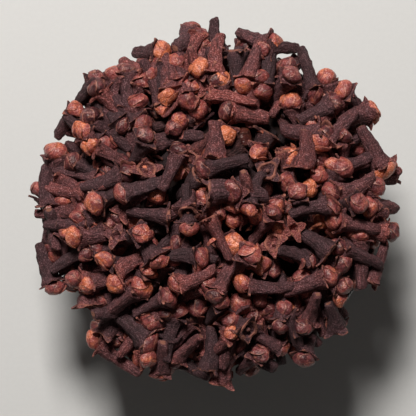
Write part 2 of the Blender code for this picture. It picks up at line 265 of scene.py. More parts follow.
# Whole cloves and the bits broken off them
# Each is a flower bud of the clove tree, picked unopened and dried in the sun: a roughly four-sided stem
# with four stiff sepals that hold the round bud of petals, or an open pit where it has fallen out.
# Stalks, short calyxes and single petals have broken off some. All lie as they fell, one upon another.
CLOVE_LENGTH = 0.0158
LENGTH_SPREAD = 0.0012

# A clove's outline, tail to bud: part of its length, and radius in metres
OUTLINES = {
    "whole": ((0, 0.0010), (0.62, 0.0018), (0.76, 0.0025), (0.90, 0.0023), (1, 0.0010)),
    "open": ((0, 0.0010), (0.74, 0.0018), (1, 0.0028)),
}
SIZES = {"whole": 1.0, "open": 0.8}
SHORTEST = {"whole": 0.0130, "open": 0.0104}
LONGEST = 0.0175
OPEN_SHARE = 0.14
BUD_CENTRE = 0.86

# How the heap is laid: over a plan of small cells that know their height, each clove where it lies lowest
SEED = 27
MAP_CELL = 0.0005
MAP_REACH = 0.060
MAP_POINTS = (44, 16)
TRIAL_POINTS = (12, 8)
GLASS_POINTS = 60
SINK = 0.0008
LIFT_LIMIT = 0.0020
PLACES_TRIED = 40
FAILURES_ALLOWED = 30
FREE_PITCHES = np.radians(np.linspace(-48, 48, 9))
RIM_PITCHES = np.radians(np.linspace(-18, 18, 5))
LEANING_PITCHES = np.radians(np.linspace(8, 44, 6))

# Cloves across the rim, a ring of them and those that each carry one beyond it
RING_COUNT = 40
RING_RADIUS = 0.0355
RING_BAND = (0.95, 1.05)
RING_UNEVENNESS = 0.3
RING_TURN = 0.4
BEARER_RADIUS = 0.0405
BEARER_REACH = 0.0012
BEARER_TURN = 0.15

# Cloves placed at given points: how they stand, and how far they may move and turn to lie lower
BUD_DEPTHS = (-0.0008, 0.0014)
STANDING_PITCHES = np.radians((48, 76))
LEANING_TURN = 1.0
TILT_STEP = 0.1
TURN_STEP = 0.08
SHIFT_STEP = 0.0009

# Cloves laid by rule: how far out, and how far below the mound's even form they reach up to
FREE_REACH = 0.032
FLOOR_REACH = 0.022
FILL_REACH = 0.0425
SIDE_REACH = 0.036
SIDE_DEPTH = 0.0075
UNDER_DEPTH = 0.0054
FILL_DEPTH = 0.0028
RIM_FILL_DEPTH = 0.0012

# Places given in pixels of a view from straight above
PIXEL = 0.001 / 3.86
AXIS_PIXEL = (222, 207.5)

# Buds that look up out of the heap, and calyxes that have lost theirs: x, y
UPRIGHT = (
    (143, 81), (141, 102), (90, 118), (82, 130), (97, 87), (175, 62), (194, 66), (221, 78), (258, 77),
    (265, 95), (198, 109), (179, 120), (287, 65), (326, 77), (289, 102), (342, 135), (79, 216), (75, 236),
    (103, 224), (87, 256), (103, 258), (157, 194), (144, 168), (257, 153), (218, 213), (253, 214),
    (237, 244), (320, 159), (290, 153), (286, 181), (308, 188), (343, 167), (376, 186), (335, 224),
    (319, 223), (279, 226), (276, 206), (256, 264), (88, 285), (74, 278), (115, 283), (153, 322),
    (199, 308), (256, 316), (270, 307), (240, 304), (338, 299), (345, 284), (288, 309), (280, 325),
    (275, 270), (303, 278), (343, 262), (180, 170), (172, 130), (318, 176), (258, 297), (227, 136),
)
UPRIGHT_OPEN = ((91, 237), (266, 172), (86, 305), (179, 312), (190, 160))

# Cloves that lie near the top of the heap, then those on top of it: tail x, y, head x, y
LOWER = (
    (77, 99, 104, 70), (127, 112, 129, 64), (124, 58, 160, 72), (112, 96, 143, 124), (88, 100, 124, 126),
    (211, 88, 213, 42), (193, 66, 197, 34), (172, 50, 188, 32), (296, 44, 250, 50), (160, 101, 152, 60),
    (155, 62, 192, 92), (362, 106, 334, 84), (300, 119, 342, 101), (283, 123, 335, 130), (272, 98, 294, 70),
    (43, 159, 51, 212), (39, 241, 35, 179), (40, 240, 64, 291), (118, 184, 66, 153), (124, 162, 82, 142),
    (122, 186, 88, 203), (150, 193, 120, 222), (247, 243, 272, 207), (216, 264, 173, 241),
    (165, 258, 211, 255), (143, 228, 172, 268), (336, 206, 364, 208), (397, 206, 358, 203),
    (352, 222, 403, 230), (92, 308, 126, 304), (123, 299, 155, 262), (187, 299, 215, 280),
    (217, 265, 168, 279), (200, 340, 170, 368), (282, 364, 238, 336), (250, 331, 292, 352),
    (309, 330, 300, 367), (318, 297, 304, 332), (165, 340, 163, 372), (130, 165, 141, 133),
    (293, 214, 293, 186), (262, 184, 232, 183), (236, 270, 253, 245), (131, 348, 152, 362),
    (243, 368, 268, 348), (283, 342, 306, 326), (204, 324, 217, 300), (127, 242, 154, 232),
    (44, 208, 52, 246), (66, 262, 74, 222), (237, 168, 246, 210), (256, 170, 248, 212),
)
LOWER_OPEN = (
    (245, 95, 240, 42), (85, 200, 62, 174), (212, 118, 207, 161), (196, 183, 192, 213),
    (127, 214, 175, 216), (112, 300, 103, 333), (160, 256, 117, 276), (226, 306, 247, 326),
    (231, 350, 222, 380), (325, 298, 333, 331), (387, 240, 372, 288),
)
UPPER = (
    (54, 134, 80, 100), (104, 124, 113, 62), (137, 49, 170, 46), (272, 113, 223, 109), (297, 50, 314, 106),
    (335, 123, 374, 107), (366, 122, 389, 175), (57, 203, 55, 139), (58, 254, 66, 196), (79, 194, 130, 168),
    (162, 178, 113, 197), (252, 162, 199, 174), (156, 187, 180, 141), (181, 180, 189, 231),
    (305, 125, 296, 177), (377, 169, 326, 190), (364, 292, 353, 229), (284, 212, 334, 203),
    (279, 245, 318, 261), (143, 377, 93, 331), (117, 320, 158, 352), (138, 312, 178, 288),
    (229, 261, 210, 306), (290, 291, 230, 281), (284, 294, 340, 278), (212, 359, 238, 329),
    (156, 58, 164, 100), (233, 33, 278, 51),
)
UPPER_OPEN = (
    (214, 14, 226, 60), (257, 99, 203, 94), (268, 200, 200, 194), (228, 259, 201, 213),
    (301, 232, 337, 254), (212, 329, 203, 378),
)


def glass_top(radius):
    """Height of the glass met from straight above, at an array of radii, and far below past the rim."""
    turns = np.linspace(0, math.pi / 2, GLASS_POINTS)
    curve = np.array([(0, BOWL_FLOOR)] + [glass_inner(turn) for turn in turns])
    height = np.interp(radius, curve[:, 0], curve[:, 1])
    across = np.clip(np.abs(radius - CREST_RADIUS) / RIM_RADIUS, 0, 1)
    rim = BOWL_HEIGHT - RIM_RADIUS + RIM_RADIUS * np.sqrt(1 - across**2)
    height = np.where(radius > CREST_RADIUS - RIM_RADIUS, rim, height)
    return np.where(radius > BOWL_DIAMETER / 2 + GLASS_GAP, FAR_BELOW, height)


def core_top(radius):
    """Height of the hidden middle that the shown cloves lie on, and far below past its edge."""
    return np.where(radius < CORE_EDGE, mound_top(radius) - CORE_DEPTH, FAR_BELOW)


def clove_points(kind, length, headings, pitches, stations, sides):
    """Points on cloves about their middles, by heading, pitch, point, and x, y or z."""
    outline = np.array(OUTLINES[kind])
    part = np.linspace(0, 1, stations)
    radius = np.repeat(np.interp(part, outline[:, 0], outline[:, 1]), sides)
    along = np.repeat((part - 0.5) * length, sides)
    turn = np.tile(np.arange(sides) * 2 * math.pi / sides, stations)
    heading = np.asarray(headings)[:, None, None]
    pitch = np.asarray(pitches)[None, :, None]
    flat = along * np.cos(pitch) - radius * np.sin(turn) * np.sin(pitch)
    x = flat * np.cos(heading) - radius * np.cos(turn) * np.sin(heading)
    y = flat * np.sin(heading) + radius * np.cos(turn) * np.cos(heading)
    z = along * np.sin(pitch) + radius * np.sin(turn) * np.cos(pitch) + 0 * heading
    return np.stack([x, y, z], axis=-1)


def cells(lengths):
    """Row or column of the plan's cell at each length from its middle."""
    index = np.floor((lengths + MAP_REACH) / MAP_CELL).astype(int)
    return np.clip(index, 0, int(2 * MAP_REACH / MAP_CELL) - 1)


def from_pixel(x, y):
    """Place on the plan of a pixel of the view from above."""
    return np.array([(x - AXIS_PIXEL[0]) * PIXEL, (AXIS_PIXEL[1] - y) * PIXEL])


def ways(headings):
    """Unit vectors on the plan."""
    return np.stack([np.cos(headings), np.sin(headings)], axis=-1)


class Heap:
    """The cloves laid so far, and how high the heap stands at each cell of a plan."""

    def __init__(self):
        line = np.arange(-MAP_REACH, MAP_REACH, MAP_CELL) + MAP_CELL / 2
        self.radii = np.hypot(*np.meshgrid(line, line, indexing="ij"))
        self.top = glass_top(self.radii) + GLASS_GAP
        self.laid = []
        self.rng = np.random.default_rng(SEED)

    def place(self, kind, length, place, height, heading, pitch):
        """Lay one clove, clear of the glass, and raise the plan's heights to it."""
        points = clove_points(kind, length, [heading], [pitch], *MAP_POINTS)[0, 0]
        across = points[:, :2] + place
        glass = glass_top(np.hypot(*across.T)) + GLASS_GAP
        height = max(height, np.max(glass - points[:, 2]))
        np.maximum.at(self.top, tuple(cells(across).T), points[:, 2] + height - SINK)
        self.laid.append((kind, length, place[0], place[1], height, heading, pitch))

    def settle(self, kind, length, places, headings, pitches, level=None):
        """Of many places and pitches, lay the clove where it rests lowest against a level.

        With no level it is laid wherever it rests, pressed in where it would stand too high.
        """
        points = clove_points(kind, length, headings, pitches, *TRIAL_POINTS)
        under = cells(points[..., :2] + places[:, None, None])
        heights = np.max(self.top[under[..., 0], under[..., 1]] - points[..., 2], axis=2)
        radii = np.hypot(*places.T)
        levels = level(radii) if level else mound_top(radii) + LIFT_LIMIT
        k = int(np.argmin(heights.min(axis=1) - levels))
        best = int(np.argmin(heights[k]))
        if level and heights[k, best] > levels[k]:
            return False
        height = min(heights[k, best], levels[k])
        self.place(kind, length, places[k], height, headings[k], pitches[best])
        return True

    def fill(self, level, reach, radius_from=0.0, pitches=FREE_PITCHES):
        """Lay cloves in the lowest of many random places until the heap is up to a level."""
        failures = 0
        while failures < FAILURES_ALLOWED:
            kind = "open" if self.rng.random() < OPEN_SHARE else "whole"
            length = SIZES[kind] * (CLOVE_LENGTH + LENGTH_SPREAD * self.rng.uniform(-1, 1))
            squares = self.rng.uniform(radius_from**2, reach**2, PLACES_TRIED)
            places = np.sqrt(squares)[:, None] * ways(self.rng.uniform(0, 2 * math.pi, PLACES_TRIED))
            headings = self.rng.uniform(0, 2 * math.pi, PLACES_TRIED)
            failures += not self.settle(kind, length, places, headings, pitches, level)

    def ring(self):
        """Lay cloves across the rim all the way round, to carry those that overhang it."""
        for i in range(RING_COUNT):
            outward = 2 * math.pi * (i + self.rng.uniform(-RING_UNEVENNESS, RING_UNEVENNESS)) / RING_COUNT
            turned_in = math.pi * (self.rng.random() < 0.5)
            headings = outward + turned_in + self.rng.uniform(-RING_TURN, RING_TURN, PLACES_TRIED)
            places = self.rng.uniform(*RING_BAND, (PLACES_TRIED, 1)) * RING_RADIUS * ways(outward)
            self.settle("whole", CLOVE_LENGTH, places, headings, RIM_PITCHES)

    def bear(self, place):
        """Lay a clove across the rim to carry one that lies beyond it."""
        outward = math.atan2(place[1], place[0])
        headings = outward + math.pi + self.rng.uniform(-BEARER_TURN, BEARER_TURN, PLACES_TRIED)
        middle = (np.hypot(*place) + BEARER_REACH - CLOVE_LENGTH / 2) * ways(outward)
        self.settle("whole", CLOVE_LENGTH, np.tile(middle, (PLACES_TRIED, 1)), headings, RIM_PITCHES)

    def stand(self, kind, bud):
        """Stand a clove in the heap with its bud at a place, or lean it out over the rim."""
        length = SIZES[kind] * CLOVE_LENGTH
        radius = np.hypot(*bud)
        to_bud = (BUD_CENTRE - 0.5) * length
        if radius < FREE_REACH:
            heading = self.rng.uniform(0, 2 * math.pi)
            pitch = self.rng.uniform(*STANDING_PITCHES)
            middle = bud - to_bud * math.cos(pitch) * ways(heading)
            height = mound_top(radius) - 0.5 * length * math.sin(pitch) - self.rng.uniform(*BUD_DEPTHS)
            self.place(kind, length, middle, height, heading, pitch)
            return
        headings = math.atan2(bud[1], bud[0]) + self.rng.uniform(-LEANING_TURN, LEANING_TURN, PLACES_TRIED)
        self.settle(kind, length, bud - to_bud * ways(headings), headings, LEANING_PITCHES)

    def lay(self, kind, ends):
        """Lay a clove with its tail and head at two pixels, shifted a little if it then lies lower."""
        tail, head = from_pixel(*ends[:2]), from_pixel(*ends[2:])
        span = np.hypot(*(head - tail))
        length = min(max(span, SHORTEST[kind]), LONGEST)
        tilt = math.acos(min(1, span / length))
        pitches = np.array([side * tilt + step for side in (-1, 1) for step in (-TILT_STEP, 0, TILT_STEP)])
        headings = math.atan2(head[1] - tail[1], head[0] - tail[0]) + np.repeat([-1, 0, 1], 9) * TURN_STEP
        shifts = np.array([(i, j) for i in (-1, 0, 1) for j in (-1, 0, 1)] * 3) * SHIFT_STEP
        middle = (tail + head) / 2
        if np.hypot(*middle) > BEARER_RADIUS:
            self.bear(middle)
        self.settle(kind, length, middle + shifts, headings, pitches)


def lay_cloves():
    """Lay the whole heap from the glass up, and note which cloves have their place given."""
    heap = Heap()
    heads = {}
    heap.fill(lambda radius: glass_top(radius) + CORE_FLOOR, FLOOR_REACH)
    heap.top = np.maximum(heap.top, core_top(heap.radii))
    heap.fill(lambda radius: mound_top(radius) - SIDE_DEPTH, SIDE_REACH, FREE_REACH)
    heap.fill(lambda radius: mound_top(radius) - UNDER_DEPTH, FREE_REACH)
    heap.ring()
    for kind, lot in (("open", UPRIGHT_OPEN), ("whole", UPRIGHT)):
        for pixel in lot:
            heap.stand(kind, from_pixel(*pixel))
            heads[len(heap.laid) - 1] = pixel
    heap.fill(lambda radius: mound_top(radius) - FILL_DEPTH, FREE_REACH)
    heap.fill(lambda radius: mound_top(radius) - RIM_FILL_DEPTH, FILL_REACH, FREE_REACH, RIM_PITCHES)
    for kind, lot in (("whole", LOWER), ("open", LOWER_OPEN), ("whole", UPPER), ("open", UPPER_OPEN)):
        for ends in lot:
            heap.lay(kind, ends)
            heads[len(heap.laid) - 1] = ends[2:]
    return heap, heads


# Bits among the cloves: thin stalks, calyxes broken off short, and single petals
SIZES.update(twig=0.7, star=0.22, flake=0.20)
SHORTEST.update(twig=0.0040)
OUTLINES.update(
    twig=((0, 0.0005), (1, 0.0005)),
    star=((0, 0.0012), (1, 0.0022)),
    flake=((0, 0.0006), (1, 0.0006)),
)
TWIGS = (
    (190, 132, 210, 112), (172, 50, 185, 60), (192, 262, 188, 288), (166, 114, 186, 88),
    (150, 330, 166, 346), (165, 345, 178, 338), (254, 362, 262, 346), (98, 196, 116, 190),
    (306, 86, 300, 104), (232, 318, 246, 308),
)
STARS = ((376, 215), (118, 238), (295, 230))
FLAKES = (
    (319, 223), (159, 158), (180, 170), (350, 192), (163, 108), (300, 262), (248, 226), (128, 284),
    (212, 240), (262, 130), (96, 160), (340, 246), (228, 206), (196, 262), (286, 334),
)
STAR_PITCHES = np.radians(np.linspace(58, 84, 5))
FLAKE_PITCHES = np.radians(np.linspace(-50, 50, 5))
BIT_SHIFT = 0.0008


def lay_bits(heap, heads):
    """Lay the bits where they rest on the finished heap."""
    for ends in TWIGS:
        heap.lay("twig", ends)
    for kind, lot, pitches in (("star", STARS, STAR_PITCHES), ("flake", FLAKES, FLAKE_PITCHES)):
        for pixel in lot:
            headings = heap.rng.uniform(0, 2 * math.pi, PLACES_TRIED)
            places = from_pixel(*pixel) + heap.rng.uniform(-BIT_SHIFT, BIT_SHIFT, (PLACES_TRIED, 2))
            heap.settle(kind, SIZES[kind] * CLOVE_LENGTH, places, headings, pitches)
            heads[len(heap.laid) - 1] = pixel


# Gaps between the cloves that overhang the rim: where to look, how far above the rim a cell of the plan
# and its neighbours count as covered, and how far off the level the clove that closes one may lie
GAP_RADII = np.arange(0.0400, 0.0490, MAP_CELL)
GAP_DIRECTIONS = 180
COVER_LIFT = 0.0010
NEIGHBOURS = ((0, 0), (-2, 0), (2, 0), (0, -2), (0, 2))
GAP_PITCH = 0.1


def close_gaps(heap):
    """Lay cloves straight across the rim, wherever floor would show between those that overhang it."""
    for outward in np.linspace(0, 2 * math.pi, GAP_DIRECTIONS, endpoint=False):
        row, column = cells(GAP_RADII[:, None] * ways(outward)).T
        around = np.array([heap.top[row + i, column + j] for i, j in NEIGHBOURS])
        covered = around.min(axis=0) > BOWL_HEIGHT + COVER_LIFT
        edge = np.max(np.nonzero(covered)[0], initial=0)
        gaps = GAP_RADII[:edge][~covered[:edge]]
        if len(gaps):
            middle = (gaps[-1] - CLOVE_LENGTH / 2) * ways(outward)
            heading = outward + math.pi * heap.rng.integers(0, 2)
            pitch = heap.rng.uniform(-GAP_PITCH, GAP_PITCH)
            heap.place("whole", CLOVE_LENGTH, middle, 0, heading, pitch)


# Cloves against the glass: how far their middles lie in from the wall, layer by layer, and how far apart
LINING_DEPTHS = (0.0031, 0.0060)
LINING_SPACE = 0.0033
LINING_LIFT = 0.12
LINING_TURNS = np.radians((14, 82))
LINING_TOP = 0.0325
LINING_TRIES = 2600
LINING_SEED = 11
AXIS_PARTS = np.linspace(-0.42, 0.42, 6)


def against_glass():
    """Cloves that lie along the glass, at any slant, and no two of them through each other."""
    rng = np.random.default_rng(LINING_SEED)
    lining = []
    axes = np.empty((0, 3))
    for depth in LINING_DEPTHS:
        for _ in range(LINING_TRIES):
            turn = rng.uniform(*LINING_TURNS)
            round_bowl, slant = rng.uniform(0, 2 * math.pi, 2)
            length = CLOVE_LENGTH + LENGTH_SPREAD * rng.uniform(-1, 1)
            radius, height = glass_inner(turn)
            slope = glass_slope(turn)
            outward = np.array([math.cos(round_bowl), math.sin(round_bowl), 0])
            onward = np.array([-math.sin(round_bowl), math.cos(round_bowl), 0])
            upward = np.array([0, 0, 1])
            inward = upward * math.cos(slope) - outward * math.sin(slope)
            climbing = outward * math.cos(slope) + upward * math.sin(slope)
            middle = outward * radius + upward * height + inward * depth
            way = onward * math.cos(slant) + climbing * math.sin(slant) + inward * LINING_LIFT
            way /= np.linalg.norm(way)
            axis = middle + AXIS_PARTS[:, None] * length * way
            apart = np.linalg.norm(axes[:, None] - axis[None], axis=-1)
            if axis[:, 2].max() < LINING_TOP and (apart > LINING_SPACE).all():
                axes = np.concatenate([axes, axis])
                heading, pitch = math.atan2(way[1], way[0]), math.asin(way[2])
                lining.append(("whole", length, *middle, heading, pitch))
    return lining


# Stems from the cut tail to the calyx: part of the clove's length, radius in metres
STEMS = {
    "whole": (
        (0.000, 0.0004), (0.004, 0.0008), (0.018, 0.0011), (0.06, 0.00125), (0.16, 0.00138), (0.30, 0.00148),
        (0.46, 0.00158), (0.58, 0.00176), (0.68, 0.0021), (0.73, 0.0024), (0.752, 0.0023), (0.765, 0.0016),
    ),
    "open": (
        (0.000, 0.0004), (0.005, 0.0008), (0.022, 0.0011), (0.08, 0.0013), (0.25, 0.00145), (0.44, 0.0016),
        (0.62, 0.0020), (0.76, 0.0024), (0.88, 0.0026), (0.905, 0.0024), (0.90, 0.0019), (0.84, 0.0016),
        (0.80, 0.0011), (0.79, 0.0006), (0.87, 0.0004), (0.89, 0.0002),
    ),
    "star": (
        (0.0, 0.0004), (0.02, 0.0008), (0.1, 0.0010), (0.3, 0.0013), (0.6, 0.0017), (0.85, 0.0020),
        (0.95, 0.0021), (1.0, 0.0019), (0.98, 0.0015), (0.80, 0.0012), (0.55, 0.0009), (0.50, 0.0003),
    ),
    "twig": (
        (0.0, 0.0003), (0.01, 0.0005), (0.15, 0.00045), (0.32, 0.0005), (0.48, 0.00055), (0.54, 0.0008),
        (0.60, 0.0005), (0.78, 0.00045), (0.93, 0.0005), (0.99, 0.0003),
    ),
}

# How stem, sepals and petals are formed, in metres or as parts of their own size
STEM_SIDES = 16
STEM_SQUARENESS = 0.07
STEM_FLATNESS = 0.08
STEM_WAVE = 0.06
CUT_PART = 0.005
CALYX_FROM = {"whole": 0.62, "open": 0.70, "star": 0.2, "twig": 1.0}
CALYX_BLEND = 0.1
PIT_RIM = (0.06, 0.03)
SEPAL_FROM = {"whole": 0.725, "open": 0.83, "star": 0.92, "flake": 0.0}
SEPAL_ROOT = {"whole": 0.0018, "open": 0.0021, "star": 0.0016, "flake": 0.0}
SEPAL_LENGTH = {"whole": 0.0022, "open": 0.0024, "star": 0.0025, "flake": 0.0030}
SEPAL_WIDTH = 0.00125
SEPAL_THICKNESS = 0.00055
SEPAL_TAPER = 0.55
SEPAL_TIP = 0.0001
SEPAL_CURL = 0.35
SEPAL_CUP = 0.35
SEPAL_UNLIKE = 0.12
SEPAL_EDGE = 0.7
SEPAL_STATIONS = (0, 0.2, 0.4, 0.6, 0.8, 0.96)
SEPAL_SECTION = ((-1, 0.0), (-0.5, 0.8), (0.5, 0.8), (1, 0.0), (0.5, -0.6), (-0.5, -0.6))
BUD_RADIUS = 0.00228
BUD_ROWS = 14
BUD_SPAN = np.radians((3, 168))
BUD_HEIGHT = 0.94
BUD_SQUARENESS = 0.05
PETAL_COLUMNS = (0.0, 0.16, 0.38, 0.62, 0.84, 0.985)
PETAL_UNLIKE = (0.0, 0.035, -0.02, 0.03)
PETAL_TWIST = 0.9
LIP_FROM = 0.9
MOULD_CREASE = math.radians(50)

# Moulds: kind, how far the stem bends in metres, how far each sepal stands out in degrees, and of the bud
# its size, how far one petal's rim stands over the next, and how far its crown peaks
MOULDS = {
    "straight": ("whole", 0.0002, (42, 58, 34, 50), (1.02, 0.04, 0.08)),
    "bent": ("whole", 0.0014, (62, 36, 74, 44), (0.93, 0.10, 0.16)),
    "stout": ("whole", -0.0007, (30, 76, 52, 26), (1.12, 0.03, 0.02)),
    "flat_bud": ("whole", 0.0007, (52, 66, 58, 72), (1.04, 0.12, -0.10)),
    "crooked": ("whole", -0.0018, (40, 30, 66, 80), (0.98, 0.06, 0.24)),
    "loose_bud": ("whole", 0.0010, (70, 48, 84, 56), (1.00, 0.34, 0.30)),
    "open_star": ("open", 0.0006, (70, 84, 62, 76), None),
    "open_cup": ("open", -0.0012, (38, 56, 24, 70), None),
    "star": ("star", 0.0, (76, 84, 70, 82), None),
    "twig": ("twig", 0.0009, (), None),
    "flake": ("flake", 0.0, (0,), None),
}


def give(mesh, name, values):
    """Give the points of a mesh a number each, or a vector each, under a name."""
    values = np.array(values)
    kind, field = ("FLOAT_VECTOR", "vector") if values.ndim > 1 else ("FLOAT", "value")
    mesh.attributes.new(name, kind, "POINT").data.foreach_set(field, values.ravel())


class Mould:
    """The mesh of one clove, a skin at a time, with the marks that its finishes read."""

    def __init__(self):
        self.points = []
        self.faces = []
        self.marks = {"edge": [], "cut": [], "calyx": [], "bud": []}

    def skin(self, rings, **marks):
        """Add a skin over rings of points, closed at its ends, with a mark from 0 to 1 for each point."""
        rows, sides = rings.shape[:2]
        start = len(self.points)
        self.points += [tuple(point) for point in rings.reshape(-1, 3)]
        self.points += [tuple(rings[0].mean(axis=0)), tuple(rings[-1].mean(axis=0))]
        for i in range(rows - 1):
            for j in range(sides):
                low = start + i * sides
                k = (j + 1) % sides
                self.faces.append((low + j, low + k, low + sides + k, low + sides + j))
        end = start + rows * sides
        for j in range(sides):
            k = (j + 1) % sides
            self.faces.append((end, start + k, start + j))
            self.faces.append((end + 1, end - sides + j, end - sides + k))
        for name, lot in self.marks.items():
            values = np.broadcast_to(marks.get(name, 0.0), (rows, sides))
            lot += [*values.reshape(-1), values[0].mean(), values[-1].mean()]

    def stem(self, kind, length):
        """The stem, a little four-sided, with two slow waves crossing on its skin, and its cut tail."""
        outline = np.array(STEMS[kind])
        steps = np.linspace(0, len(outline) - 1, 2 * len(outline) - 1)
        part, radius = (np.interp(steps, np.arange(len(outline)), line)[:, None] for line in outline.T)
        turn = np.arange(STEM_SIDES)[None, :] * 2 * math.pi / STEM_SIDES
        rough = np.sin(3 * turn + 9 * part) * np.sin(14 * part + 1.3) + 0.6 * np.sin(5 * turn - 23 * part)
        radius = radius * (1 + STEM_SQUARENESS * np.cos(4 * turn) + STEM_WAVE * rough)
        x = radius * np.cos(turn) * (1 + STEM_FLATNESS)
        y = radius * np.sin(turn) * (1 - STEM_FLATNESS)
        z = (part - 0.5) * length + 0 * turn
        cut = np.clip((CUT_PART - part) / CUT_PART, 0, 1)
        calyx = np.clip((part - CALYX_FROM[kind]) / CALYX_BLEND, 0, 1)
        above, width = PIT_RIM
        rim = np.exp(-((part - SEPAL_FROM.get(kind, 0) - above) / width) ** 2) * (kind in ("open", "star"))
        self.skin(np.stack([x, y, z], axis=-1), cut=cut, calyx=calyx, edge=rim)

    def sepal(self, kind, length, turn, spread, reach):
        """One stiff pointed sepal, curling out from the calyx at an angle from the stem."""
        part = np.array(SEPAL_STATIONS)[:, None]
        angle = np.radians(spread) + SEPAL_CURL * (part - 0.5)
        section = np.array(SEPAL_SECTION)
        across, through = section[None, :, 0], section[None, :, 1]
        width = SEPAL_WIDTH * (1 - part**1.6) ** 0.8 + SEPAL_TIP
        thick = SEPAL_THICKNESS * (1 - SEPAL_TAPER * part)
        out = SEPAL_ROOT[kind] + reach * part * np.sin(angle)
        rise = (SEPAL_FROM[kind] - 0.5) * length + reach * part * np.cos(angle)
        cup = SEPAL_CUP * width * across**2
        radial = out + (thick * through - cup) * np.cos(angle)
        z = rise - (thick * through - cup) * np.sin(angle)
        side = width * across
        x = radial * math.cos(turn) - side * math.sin(turn)
        y = radial * math.sin(turn) + side * math.cos(turn)
        edge = np.clip(np.maximum(SEPAL_EDGE * np.abs(across) ** 4, part**3), 0, 1)
        self.skin(np.stack([x, y, z], axis=-1), calyx=1.0, edge=edge, bud=float(kind == "flake"))

    def petals(self, length, size, step, peak):
        """The round bud of four petals, each tucked under the next."""
        polar = np.linspace(*BUD_SPAN, BUD_ROWS)[::-1, None]
        part = np.array([k + u for k in range(4) for u in PETAL_COLUMNS])[None, :]
        tuck = part % 1.0
        turn = part * math.pi / 2 + PETAL_TWIST * np.cos(polar)
        radius = BUD_RADIUS * size * (1 + step * (tuck - 0.5) * np.sin(polar) ** 0.5)
        radius = radius * (1 + np.array(PETAL_UNLIKE)[part.astype(int)] * np.sin(polar))
        radius = radius * (1 + BUD_SQUARENESS * np.cos(4 * turn) * np.sin(polar))
        crown = 1 + peak * np.clip(np.cos(polar), 0, 1) ** 6
        x = radius * np.sin(polar) * np.cos(turn)
        y = radius * np.sin(polar) * np.sin(turn)
        z = (BUD_CENTRE - 0.5) * length + BUD_HEIGHT * radius * crown * np.cos(polar)
        # Where one petal tucks under the next, for painted shade there
        painted_tuck_shade = np.where(tuck == 0, 1.0, 0.0) + 0 * polar
        # Rims of the petals, for a painted highlight there
        painted_lip_highlight = np.where(tuck > LIP_FROM, 1.0, 0.0) + 0 * polar
        # Height on the bud, for painted light: the crown lighter and the base darker
        height = 0.5 + 0.5 * np.cos(polar) + 0 * part
        self.skin(np.stack([x, y, z], axis=-1), bud=1.0, calyx=height, cut=painted_tuck_shade, edge=painted_lip_highlight)

    def finish(self, name, bend, length):
        """The mould as a hidden object, bent sideways, with its marks and its own frame as attributes."""
        points = np.array(self.points)
        points[:, 0] += bend * (1 - (2 * points[:, 2] / length) ** 2)
        mesh = bpy.data.meshes.new(name)
        mesh.from_pydata(points.tolist(), [], self.faces)
        for mark, values in self.marks.items():
            give(mesh, mark, values)
        give(mesh, "grain", points)
        mesh.shade_smooth()
        mesh.set_sharp_from_angle(angle=MOULD_CREASE)
        return bpy.data.objects.new(name, mesh)


def clove_mould(name, kind, bend, spreads, bud):
    """One kind of clove: stem, four sepals, and the bud unless it has fallen out. Or one kind of bit."""
    length = CLOVE_LENGTH * SIZES[kind]
    mould = Mould()
    if kind in STEMS:
        mould.stem(kind, length)
    for k, spread in enumerate(spreads):
        reach = SEPAL_LENGTH[kind] * (1 - SEPAL_UNLIKE * (k % 2))
        mould.sepal(kind, length, math.pi / 2 * k, spread, reach)
    if bud:
        mould.petals(length, *bud)
    return mould.finish(name, bend, length)


# Tones: stems from charcoal at 0 to red-brown at 1, buds from dark brown at 0 to orange at 1
STEM_TONES = ("#40292b", "#543133", "#6b3938", "#8e443c")
BUD_TONES = ("#4a272a", "#783939", "#a64f47", "#da7348")
# Pale edges of the sepals, their own colour, and a painted highlight on the rims of the petals
PALE_EDGE_AND_LIP_HIGHLIGHT = "#b9745e"
PALE_PATCH = "#cf8368"
CUT_WOOD = "#96604c"
# Painted shade for the furrows between a stem's fibres and where one petal tucks under the next
PAINTED_CREVICE_SHADE = "#2a1412"
# Painted shade for cloves that lie deep in the heap
PAINTED_DEEP_SHADE = "#0b0605"
OILY_TINT = "#ffe6da"

# How far apart the marks on a clove's skin are, and how deep its relief is, in metres
GRANULE = 0.00030
FIBRE = 0.00045
FIBRE_STRETCH = (1, 1, 0.16)
MOTTLE = 0.0016
PATCH = 0.0011
CRUMPLE = 0.0009
STEM_RELIEF = 0.00042
BUD_RELIEF = 0.00020


def mark(tree, name, read="Fac"):
    """A mark of the moulds, or a tone of the clove, as a number or as a vector."""
    return add(tree, "ShaderNodeAttribute", {"attribute_name": name}).outputs[read]


def own_grain(tree):
    """A clove's own frame, shifted by a different amount on each clove."""
    grain = mark(tree, "grain", "Vector")
    return add(tree, "ShaderNodeVectorMath", _0=grain, _1=mark(tree, "shift", "Vector")).outputs["Vector"]


def product(tree, value, factor, rest=0.0):
    """A value times a factor, and the rest added."""
    return add(tree, "ShaderNodeMath", {"operation": "MULTIPLY_ADD"}, _0=value, _1=factor, _2=rest).outputs[0]


def over(tree, amount, under, colour):
    """A colour laid over another by an amount."""
    top = colour if isinstance(colour, bpy.types.NodeSocket) else linear(colour)
    return add(tree, "ShaderNodeMix", {"data_type": "RGBA"}, _0=amount, _6=under, _7=top).outputs[2]


def grain_and_glints(tree, colour, grain, darkest, lightest):
    """Real granules on a colour, at the peaks of a fine noise that also raises the relief: lit up lighter
    and greyer there as painted glints, and a little darker between them as painted shade.
    """
    value = stretch(tree, grain, 0.48, 0.74, darkest, lightest)
    purity = stretch(tree, grain, 0.50, 0.74, 1.0, 0.72)
    return add(tree, "ShaderNodeHueSaturation", Saturation=purity, Value=value, Color=colour).outputs["Color"]


